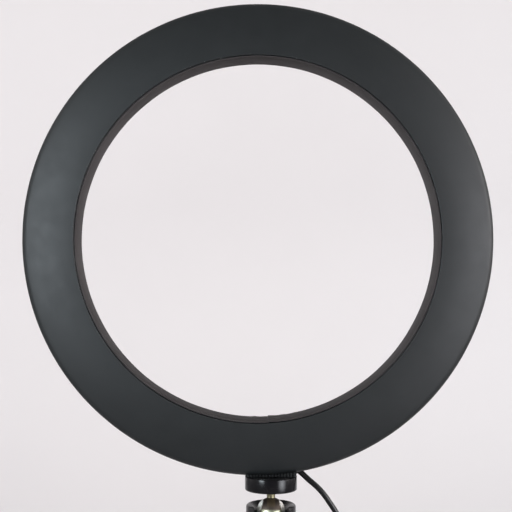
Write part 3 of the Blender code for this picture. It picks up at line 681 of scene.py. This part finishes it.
def make_front_housing():
    foot = SPLIT + 0.15 * MM
    outer, inner = RIM_R - WALL, INNER_R + WALL
    floor, lid = 5.7 * MM, 6.7 * MM
    outline = arc((RIM_R - 1 * MM, FRONT - 1 * MM), 1 * MM, 90, 0, 7)
    outline += [(RIM_R, foot + 0.3 * MM), (RIM_R - 0.25 * MM, foot), (outer, foot), (outer, floor)]
    outline += [(inner, floor), (inner, foot), (INNER_R, foot)]
    outline += arc((INNER_R + 0.6 * MM, FRONT - 0.6 * MM), 0.6 * MM, 180, 90, 5)
    outline += [(inner, FRONT), (inner, lid), (outer, lid), (outer, FRONT)]
    grommet = add_rod(bmesh.new(), 2.5 * MM, CABLE_EXIT - exit_way * 7 * MM, CABLE_EXIT + exit_way * 6 * MM)
    wire_hole = add_rod(bmesh.new(), WIRE_HOLE_R, (WIRE_HOLE[0], floor - 1 * MM, WIRE_HOLE[1]),
                        (WIRE_HOLE[0], lid + 1 * MM, WIRE_HOLE[1]))
    screw_holes = bmesh.new()
    for i in range(6):
        place = middle(f"board_screw_{i + 1}")
        add_rod(screw_holes, 1.5 * MM, (place.x, floor - 1 * MM, place.z),
                (place.x, lid + 1 * MM, place.z), 16)
    housing = carve(ring_revolved(outline), [rim_foot(foot, FRONT - 1.5 * MM)], operation="UNION")
    housing = carve(housing, [stud_hole(), grommet, wire_hole, screw_holes])
    piece("front_housing_shell", housing, "housing", RING, 30, ["front_housing"])


def make_liner():
    """The strip that lines the hole: its ends butt at the bottom, and one of them lifts a little."""
    low, high = BACK + 0.3 * MM, FRONT - 0.2 * MM
    joint, half_gap, count = -86.7, 0.015, 420  # the first two in degrees
    edit = bmesh.new()
    rows = []
    for i in range(count + 1):
        along = i / count
        angle = joint + half_gap + (360 - 2 * half_gap) * along
        run = math.radians(angle - joint) * LINER_R
        lift = 0.45 * MM * math.exp(-((run / (5.0 * MM)) ** 1.6))
        back_run = math.radians(joint + 360 - angle) * LINER_R
        bumps = ((run, 8 * MM, 0.22 * MM), (run, 15 * MM, 0.12 * MM), (back_run, 7.5 * MM, 0.20 * MM))
        for distance, where, height in bumps:
            lift += height * math.exp(-(((distance - where) / (1.2 * MM)) ** 2))
        lift += 0.03 * MM * math.sin(9 * math.radians(angle)) + 0.02 * MM * math.sin(23 * math.radians(angle))
        section = soften([(LINER_R, low), (LINER_R, high), (LINER_OUTER_R, high), (LINER_OUTER_R, low)],
                         0.2 * MM, 2)
        rows.append([edit.verts.new(on_ring(angle, radius - lift, depth)) for radius, depth in section])
    grid(edit, rows, closed_rows=False)
    edit.faces.new(rows[0])
    edit.faces.new(rows[-1])
    piece("inner_band_strip", edit, "liner", RING, 40, ["inner_band"])


def make_diffuser():
    low, high = INNER_R + WALL + 0.3 * MM, RIM_R - WALL - 0.3 * MM
    centre, half, rise = (low + high) / 2, (high - low) / 2, 0.7 * MM
    bend = (half**2 + rise**2) / (2 * rise)
    reach = math.degrees(math.asin(half / bend))
    front = arc((centre, FRONT + rise - bend), bend, 90 + reach, 90 - reach, 17)
    outline = [(low, FRONT - 0.25 * MM), *front[1:-1], (high, FRONT - 0.25 * MM),
               (high, 9.6 * MM), (low, 9.6 * MM)]
    piece("milky_diffuser", ring_revolved(outline), "diffuser", RING, 30, ["diffuser"])


def make_led_strip(kind, chips=60):
    """A flexible strip with its chips, resistors between them."""
    low, high = span(f"led_strip_{kind}")
    outer = (high.x - low.x) / 2
    inner = outer - 4.6 * MM
    back, face = low.y, low.y + 0.2 * MM
    edit = ring_revolved([(inner, face), (outer, face), (outer, back), (inner, back)], 180)
    for i in range(chips):
        angle = 360 * (i + 0.5) / chips
        turn = Matrix.Rotation(-math.radians(angle), 4, "Y")
        for aside, size in ((0, (2.8, 0.8, 3.5)), (2.2, (1.0, 0.5, 0.5))):
            place = on_ring(angle + math.degrees(aside * MM / inner), (inner + outer) / 2,
                            face + size[1] / 2 * MM)
            scale = Matrix.Diagonal((*(s * MM for s in size), 1))
            bmesh.ops.create_cube(edit, size=1, matrix=Matrix.Translation(place) @ turn @ scale)
    piece(f"led_strip_{kind}_chips", edit, f"chip_{kind}", RING, 30, [f"led_strip_{kind}"])


def make_grommet():
    start = CABLE_EXIT - exit_way * 5.5 * MM
    bore, outer = BORE_R, 2.2 * MM
    outline = [(bore, 0), (outer, 0), (outer, 5.9 * MM), (outer - 0.3 * MM, 6.2 * MM), (bore, 6.2 * MM)]
    piece("grommet", revolved(outline, 48, start, exit_way), "rubber", RING, 40, ["cable_grommet"])


# ---------------------------------------------------------------- ball head

KNOB_Z = 24 * MM  # height of the brake's axis
KNOB_BORE_R = 3.1 * MM
BASE_BORE_R = 4.8 * MM
NOTCH_HALF, NOTCH_MOUTH_HALF = 8.35 * MM, 10.8 * MM
NOTCH_FLOOR = 29.6 * MM
NOTCH_FRONT, NOTCH_BACK = -16 * MM, -1.5 * MM


def make_socket():
    top = socket_high.z
    edge = arc((socket_high.x - 1.5 * MM, top - 1.5 * MM), 1.5 * MM, 90, 0, 9)
    outline = [(0, top), *edge]
    outline += soften([(socket_high.x, 7.0 * MM), (12.8 * MM, 6.2 * MM), (12.8 * MM, 0.6 * MM),
                       (12.2 * MM, 0)], 0.25 * MM, 3, closed=False)
    outline.append((0, 0))
    seat = bmesh.new()
    bmesh.ops.create_uvsphere(seat, u_segments=64, v_segments=33, radius=BALL_R + 0.3 * MM,
                              matrix=Matrix.Translation(BALL))
    well = add_rod(bmesh.new(), 5 * MM, (0, 0, 15 * MM), (0, 0, 25 * MM), 50)
    notch = rounded_box((-NOTCH_HALF, NOTCH_FRONT, NOTCH_FLOOR), (NOTCH_HALF, NOTCH_BACK, top + 6 * MM),
                        0.01 * MM, 1)
    for vertex in notch.verts:
        away = (NOTCH_BACK - vertex.co.y) / (NOTCH_BACK - NOTCH_FRONT)
        vertex.co.x *= 1 + away * (NOTCH_MOUTH_HALF / NOTCH_HALF - 1)
    stem_slot = add_rod(bmesh.new(), 2.9 * MM, (0, -4 * MM, BALL.z), (0, -18 * MM, BALL.z), 40)
    flat = rounded_box((-16 * MM, -20 * MM, 14.5 * MM), (16 * MM, -11.3 * MM, 40 * MM), 0.01 * MM, 1)
    knob_bore = add_rod(bmesh.new(), KNOB_BORE_R, (0, 3 * MM, KNOB_Z), (0, 17 * MM, KNOB_Z), 40)
    base_bore = add_rod(bmesh.new(), BASE_BORE_R, (0, 0, -2 * MM), (0, 0, 10.3 * MM), 40)
    mouth = add_rod(bmesh.new(), 8.2 * MM, (0, 0, 31.2 * MM), (0, 0, top + 0.1 * MM), 96, 12.4 * MM)
    cutters = [seat, well, notch, stem_slot, flat, knob_bore, base_bore, mouth]
    socket = carve(revolved(outline, 120), cutters, 0.35 * MM)
    piece("socket_cup", socket, "gloss", "base", 28, ["socket_housing"])


def make_ball_and_stud():
    polar = [(BALL_R * math.sin(math.pi * i / 48), -BALL_R * math.cos(math.pi * i / 48)) for i in range(49)]
    polar[0], polar[-1] = (0, -BALL_R), (0, BALL_R)
    ball = revolved(polar, 96, BALL)
    piece("head_ball", ball, "chrome", "ball", 60, ["ball"])
    neck, thread = 2.3 * MM, 3.15 * MM
    low, high = disc_low.z + 0.9 * MM, span("stud")[1].z
    pitch, depth = 1.27 * MM, 0.55 * MM
    foot = BALL_R + 0.3 * MM
    outline = [(0, BALL.z + foot)]
    outline += [(neck * k / 6, BALL.z + math.sqrt(foot**2 - (neck * k / 6) ** 2)) for k in range(1, 7)]
    outline += [(neck, disc_low.z + 0.3 * MM), (thread - depth, low)]
    rows = 104
    outline += [(thread, low + (high - 0.5 * MM - low) * (k + 0.5) / rows) for k in range(rows)]
    outline += [(thread - depth, high - 0.25 * MM), (2.3 * MM, high), (0, high)]

    def threaded(radius, height, angle):
        if radius < thread - 0.01 * MM:
            return radius
        phase = (height / pitch - angle / (2 * math.pi)) % 1
        return thread - depth * min(1.0, 2.2 * abs(phase - 0.5))

    piece("stem_and_thread", revolved(outline, 56, shape=threaded), "stud", "stud", 35, ["stud"])


def make_disc():
    radius, top, low = (disc_high.x - disc_low.x) / 2, disc_high.z, disc_low.z
    recess = 13.3 * MM
    outline = [(recess, top - 0.1 * MM), (recess + 0.1 * MM, top), (radius - 0.4 * MM, top)]
    outline += arc((radius - 0.4 * MM, top - 0.4 * MM), 0.4 * MM, 90, 0, 5)[1:]
    outline += arc((radius - 0.7 * MM, low + 0.7 * MM), 0.7 * MM, 0, -90, 8)
    outline += [(3.9 * MM, low), (3.7 * MM, low + 0.2 * MM), (3.7 * MM, low + 1 * MM),
                (4.6 * MM, low + 1 * MM), (4.6 * MM, top - 1.1 * MM), (recess, top - 1.1 * MM)]
    piece("locking_disc", revolved(outline, 192), "disc", "lock_disc", 30, ["lock_disc"])
    pad_low, pad_high = span("disc_pad")
    rim = recess - 0.3 * MM
    ribs, rib_depth, count = 60, 0.34 * MM, 480
    edit = bmesh.new()
    rows = []
    for r, height, ribbed in ((4.2 * MM, pad_low.z, 0), (4.2 * MM, pad_high.z, 1), (5.0 * MM, pad_high.z, 1),
                              (rim - 0.2 * MM, pad_high.z, 1), (rim, pad_high.z - 0.15 * MM, 1),
                              (rim, pad_high.z - 0.5 * MM, 0), (rim, pad_low.z, 0)):
        row = []
        for i in range(count):
            a = 2 * math.pi * i / count
            wave = 0.5 - 0.5 * math.cos(ribs * a)
            row.append(edit.verts.new((r * math.cos(a), r * math.sin(a), height - ribbed * rib_depth * wave)))
        rows.append(row)
    grid(edit, rows)
    piece("ribbed_pad", edit, "pad", "lock_disc", 50, ["disc_pad"])


def make_lock_knob():
    inner, outer = span("lock_knob")[0].y, span("lock_knob")[1].y
    radius, length = 6.5 * MM, outer - inner
    outline = [(0, length - 0.3 * MM), (3.6 * MM, length - 0.3 * MM), (3.9 * MM, length)]
    outline += arc((radius - 1 * MM, length - 1 * MM), 1 * MM, 90, 0, 6)
    outline += [(radius, length * k / 10) for k in (8, 7, 6, 5, 4, 3)]
    outline += [(radius - 0.3 * MM, 2.3 * MM), (4.4 * MM, 1.6 * MM), (4.2 * MM, 1.3 * MM),
                (4.2 * MM, 0.2 * MM), (4.0 * MM, 0), (2.3 * MM, 0), (2.3 * MM, 8.6 * MM), (0, 8.6 * MM)]

    def fluted(r, height, angle):
        depth = max(0.0, (r - 5.4 * MM) / (1.1 * MM)) * 0.75 * MM
        return r - depth * max(0.0, math.cos(8 * angle)) ** 1.5

    knob = revolved(outline, 128, (0, inner, KNOB_Z), (0, 1, 0), fluted)
    piece("brake_knob", knob, "knob", "knob", 32, ["lock_knob"])


# ---------------------------------------------------------------- controller, coil tie, plug


BUTTONS = ("power", "mode", "brighter", "dimmer")


def make_sleeve(name, way):
    wall = CONTROLLER_TOP if way > 0 else CONTROLLER_BOTTOM
    bore = BORE_R
    outline = [(bore, 10 * MM), (2.3 * MM, 10 * MM), (2.5 * MM, 9.8 * MM)]
    for k in range(5):
        low = 9.0 * MM - 1.8 * MM * k
        size = 2.6 * MM + (4.2 - 2.6) * MM * (k + 1) / 6
        outline += [(size, low), (size + 0.15 * MM, low - 0.2 * MM), (size + 0.15 * MM, low - 1.0 * MM),
                    (size - 0.45 * MM, low - 1.2 * MM), (size - 0.45 * MM, low - 1.6 * MM)]
    outline += [(4.1 * MM, 0.3 * MM), (2.9 * MM, 0.3 * MM), (2.9 * MM, -1.8 * MM), (4.2 * MM, -1.8 * MM),
                (4.2 * MM, -3.2 * MM), (bore, -3.2 * MM)]
    sleeve = revolved(outline, 48, (HANG_X, HANG_Y, wall), (0, 0, way))
    return piece(f"{name}_ribbed", sleeve, "rubber", RING, 32, [name])


def make_controller():
    low, high = shell_low.copy(), shell_high.copy()
    high.y = 2 * HANG_Y - low.y
    wall = Vector((1.5 * MM,) * 3)
    far = Vector((20 * MM,) * 3)
    for side, way in (("front", 1), ("back", -1)):
        outer = rounded_box(low, high, 2.6 * MM, 6)
        cavity = rounded_box(low + wall, high - wall, 1.2 * MM, 2)
        edge = HANG_Y - way * 0.12 * MM
        ends = sorted((edge, edge + way * far.y))
        other = rounded_box((low.x - far.x, ends[0], low.z - far.z),
                            (high.x + far.x, ends[1], high.z + far.z), 0.01 * MM, 1)
        cable_way = add_rod(bmesh.new(), 3.1 * MM, (HANG_X, HANG_Y, low.z - far.z),
                            (HANG_X, HANG_Y, high.z + far.z), 40)
        cutters = [cavity, other, cable_way]
        if side == "front":
            for name in BUTTONS:
                z = middle(f"button_{name}").z
                cutters.append(add_rod(bmesh.new(), 4.3 * MM, (HANG_X, low.y - 2 * MM, z),
                                       (HANG_X, low.y + 3 * MM, z), 48))
        else:
            clip = rounded_box((HANG_X - 4 * MM, high.y - 0.6 * MM, low.z + 20 * MM),
                               (HANG_X + 4 * MM, high.y + 1 * MM, high.z - 20 * MM), 0.5 * MM, 3)
            cutters.append(clip)
        shell = carve(outer, cutters, 0.18 * MM)
        piece(f"controller_{side}_moulding", shell, "controller", RING, 32,
              [f"controller_shell_{side}"])


def raised_mark(edit, name, face, z):
    """A small raised sign on a button: a ring, a dot, a plus or a minus."""

    def bar(width, height):
        size = Matrix.Diagonal((width * MM, 0.2 * MM, height * MM, 1))
        bmesh.ops.create_cube(edit, size=1, matrix=Matrix.Translation((HANG_X, face, z)) @ size)
    if name == "power":
        ring = [(1.1 * MM, 0.1 * MM), (1.5 * MM, 0.1 * MM), (1.5 * MM, -0.1 * MM), (1.1 * MM, -0.1 * MM)]
        other = revolved(ring, 32, (HANG_X, face, z), (0, -1, 0))
        mesh = bpy.data.meshes.new("mark")
        other.to_mesh(mesh)
        edit.from_mesh(mesh)
        bpy.data.meshes.remove(mesh)
        other.free()
    elif name == "mode":
        add_rod(edit, 0.8 * MM, (HANG_X, face + 0.1 * MM, z), (HANG_X, face - 0.1 * MM, z), 24)
    else:
        bar(2.6, 0.45)
        if name == "brighter":
            bar(0.45, 2.6)


def make_button(name):
    z, front = middle(f"button_{name}").z, shell_low.y
    outline = [(0, 0.55 * MM), (2.2 * MM, 0.6 * MM), (2.9 * MM, 0.85 * MM), (3.4 * MM, 0.9 * MM)]
    outline += arc((3.5 * MM, 0.4 * MM), 0.5 * MM, 90, 0, 6)
    outline += [(4.0 * MM, -1.8 * MM), (4.8 * MM, -1.8 * MM), (4.8 * MM, -2.8 * MM), (0, -2.8 * MM)]
    button = revolved(outline, 64, (HANG_X, front, z), (0, -1, 0))
    piece(f"button_{name}_cap", button, "button", f"button_{name}", 32, [f"button_{name}"])
    signs = bmesh.new()
    raised_mark(signs, name, front - 0.62 * MM, z)
    piece(f"button_{name}_sign", signs, "mark", f"button_{name}", 32)


def make_coil_tie():
    """A strap once and a half round the bundle, with its free end lying on top."""
    angle = math.radians(80)
    radial = Vector((math.cos(angle), 0, math.sin(angle)))
    along = Vector((math.sin(angle), 0, -math.cos(angle)))
    side = Vector((0, 1, 0))
    centre = COIL_CENTRE + radial * COIL_R
    edit = bmesh.new()
    rows = []
    count, width = 110, 9.0 * MM
    for i in range(count + 1):
        a = math.radians(430) * i / count
        climb = 0.95 * MM * max(0.0, a - math.radians(330)) / math.radians(30)
        r = 8.05 * MM + min(climb, 0.95 * MM)
        way = radial * math.cos(a) + side * math.sin(a)
        narrow = 1 - 0.25 * max(0.0, (i / count - 0.96) / 0.04)
        section = soften([(r, -width / 2 * narrow), (r + 0.8 * MM, -width / 2 * narrow),
                          (r + 0.8 * MM, width / 2 * narrow), (r, width / 2 * narrow)], 0.25 * MM, 2)
        rows.append([edit.verts.new(centre + way * radius + along * run) for radius, run in section])
    grid(edit, rows, closed_rows=False)
    edit.faces.new(rows[0])
    edit.faces.new(rows[-1])
    return piece("coil_strap", edit, "strap", RING, 45, ["coil_tie"])


def make_plug():
    low, high = span("usb_plug_body")
    x, y = (low.x + high.x) / 2, HANG_Y
    body_top = high.z - 7 * MM
    body = rounded_box((low.x, low.y, low.z), (high.x, high.y, body_top), 1.6 * MM, 5)
    bore = add_rod(bmesh.new(), BORE_R, (x, y, high.z - 6.5 * MM), (x, y, high.z + 3 * MM), 40)
    grips = []
    for way in (-1, 1):
        for k in range(4):
            z = low.z + (5.5 + 2.2 * k) * MM
            grip_y = y + way * 4.0 * MM
            grips.append(rounded_box((low.x - 1 * MM, grip_y - 0.35 * MM, z - 0.5 * MM),
                                     (high.x + 1 * MM, grip_y + 0.35 * MM, z + 0.5 * MM), 0.2 * MM, 2))
    relief = [(BORE_R, 7 * MM), (2.5 * MM, 7 * MM)]
    for k in range(4):
        z, size = 6.2 * MM - 1.5 * MM * k, 2.6 * MM + 0.25 * MM * (k + 1)
        relief += [(size, z), (size, z - 0.8 * MM), (size - 0.4 * MM, z - 1.0 * MM),
                   (size - 0.4 * MM, z - 1.3 * MM)]
    relief += [(3.7 * MM, 0.2 * MM), (3.7 * MM, -1.0 * MM), (BORE_R, -1.0 * MM)]
    parts = [
        piece("usb_plug_moulding", carve(body, [bore, *grips], 0.12 * MM), "knob", RING, 32,
              ["usb_plug_body"]),
        piece("usb_plug_relief", revolved(relief, 48, (x, y, body_top)), "rubber", RING, 32),
    ]
    metal_low, metal_high = span("usb_plug_shell")
    wall = Vector((0.4 * MM, 0.4 * MM, 0))
    shell = rounded_box(metal_low, metal_high, 0.45 * MM, 3)
    cavity = rounded_box(metal_low + wall - Vector((0, 0, 2 * MM)),
                         metal_high - wall - Vector((0, 0, 0.6 * MM)), 0.2 * MM, 2)
    windows = []
    for way in (-1, 1):
        for aside in (-2.6, 2.6):
            where = Vector((x + aside * MM, y + way * 2.25 * MM, metal_low.z + 6.5 * MM))
            half = Vector((1.1 * MM, 0.6 * MM, 1.1 * MM))
            windows.append(rounded_box(where - half, where + half, 0.1 * MM, 1))
    metal = carve(shell, [cavity, *windows], 0.06 * MM)
    parts.append(piece("usb_plug_metal", metal, "steel", RING, 32, ["usb_plug_shell"]))
    return parts


make_back_cover()
make_front_housing()
make_liner()
make_diffuser()
make_led_strip("warm")
make_led_strip("cool")
make_grommet()
make_socket()
make_ball_and_stud()
make_disc()
make_lock_knob()
upper_sleeve = make_sleeve("sleeve_upper", 1)
lower_sleeve = make_sleeve("sleeve_lower", -1)
make_controller()
for button in BUTTONS:
    make_button(button)
strap = make_coil_tie()
plug_pieces = make_plug()


# ---------------------------------------------------------------- CAD nodes that stay

NODE_MATERIALS = {
    "led_board": "board_white", "controller_board": "board_green", "mount_block": "housing",
    "mount_insert": "brass", "disc_insert": "brass", "base_insert": "steel", "lock_screw": "steel",
    "ball_seat": "nylon", "brake_shoe": "nylon", "usb_plug_tongue": "nylon",
    "lead_wire_common": "cable", "lead_wire_warm": "wire_red", "lead_wire_cool": "wire_white",
    **{f"board_screw_{i + 1}": "steel" for i in range(6)},
}
for node, material in NODE_MATERIALS.items():
    obj = bpy.data.objects[node]
    for slot in obj.material_slots:
        slot.material = MATERIALS[material]


# ---------------------------------------------------------------- floor, backdrop, light


def backdrop_material():
    n = Nodes("backdrop_pale")
    cloud = n.ramp(n.noise(1.6, 3), 0.3, 0.7)
    shade = n.mix(cloud, colour(0.86, 0.83, 0.84), colour(0.885, 0.855, 0.865))
    return n.set(colour=shade, rough=0.95, specular=0.1)


def make_backdrop():
    """A floor that sweeps up into a wall behind the object."""
    floor_z, bend, wall_y, side, top = -0.30, 0.6, 1.5, 3.2, 2.6
    profile = [(-2.6, floor_z)]
    for angle in range(-90, 1, 6):
        a = math.radians(angle)
        profile.append((wall_y - bend + bend * math.cos(a), floor_z + bend + bend * math.sin(a)))
    profile += [(wall_y, top)]
    edit = bmesh.new()
    rows = [[edit.verts.new((x, y, z)) for x in (-side, side)] for y, z in profile]
    grid(edit, rows, closed_rows=False, closed_columns=False)
    mesh = bpy.data.meshes.new("backdrop")
    edit.to_mesh(mesh)
    edit.free()
    mesh.shade_smooth()
    mesh.materials.append(backdrop_material())
    obj = bpy.data.objects.new("backdrop", mesh)
    bpy.context.scene.collection.objects.link(obj)


def soft_light(name, place, size, power, spread, target=RING_CENTRE, tint=(1, 1, 1)):
    light = bpy.data.lights.new(name, "AREA")
    light.shape = "RECTANGLE"
    light.size, light.size_y = size
    light.energy = power
    light.spread = math.radians(spread)
    light.color = tint
    obj = bpy.data.objects.new(name, light)
    bpy.context.scene.collection.objects.link(obj)
    obj.location = place
    obj.rotation_euler = (Vector(target) - Vector(place)).to_track_quat("-Z", "Y").to_euler()


def make_world():
    world = bpy.data.worlds.new("studio")
    world.use_nodes = True
    bpy.context.scene.world = world
    tree = world.node_tree
    background = tree.nodes["Background"]
    place = tree.nodes.new("ShaderNodeTexCoord")
    split = tree.nodes.new("ShaderNodeSeparateXYZ")
    tree.links.new(place.outputs["Generated"], split.inputs["Vector"])
    strength = tree.nodes.new("ShaderNodeMath")
    strength.operation = "MULTIPLY"
    for i, (axis, limits) in enumerate((("Y", (-0.9, 0.2, 0.07, 0.88)), ("Z", (0.3, 0.85, 1.0, 0.5)))):
        fade = tree.nodes.new("ShaderNodeMapRange")
        tree.links.new(split.outputs[axis], fade.inputs["Value"])
        for name, value in zip(("From Min", "From Max", "To Min", "To Max"), limits):
            fade.inputs[name].default_value = value
        tree.links.new(fade.outputs["Result"], strength.inputs[i])
    tree.links.new(strength.outputs["Value"], background.inputs["Strength"])
    background.inputs["Color"].default_value = (1.0, 0.985, 0.99, 1)


make_backdrop()
make_world()
soft_light("left_panel", (-0.80, -0.86, 0.26), (0.50, 0.50), 0.92, 40, tint=(0.90, 0.99, 1.06))
soft_light("right_panel", (0.85, -0.74, 0.14), (0.75, 0.75), 1.22, 40, tint=(0.96, 0.98, 1.04))
soft_light("edge_right", (1.10, -0.22, 0.34), (0.30, 0.50), 0.48, 50, tint=(1.04, 0.98, 0.98))
soft_light("backdrop_left", (-1.6, 0.1, 1.5), (1.2, 1.2), 5.65, 70, (0, 1.5, 0.42))
soft_light("backdrop_right", (1.6, 0.1, 1.5), (1.2, 1.2), 5.65, 70, (0, 1.5, 0.42))
bpy.context.scene.view_settings.view_transform = "Standard"
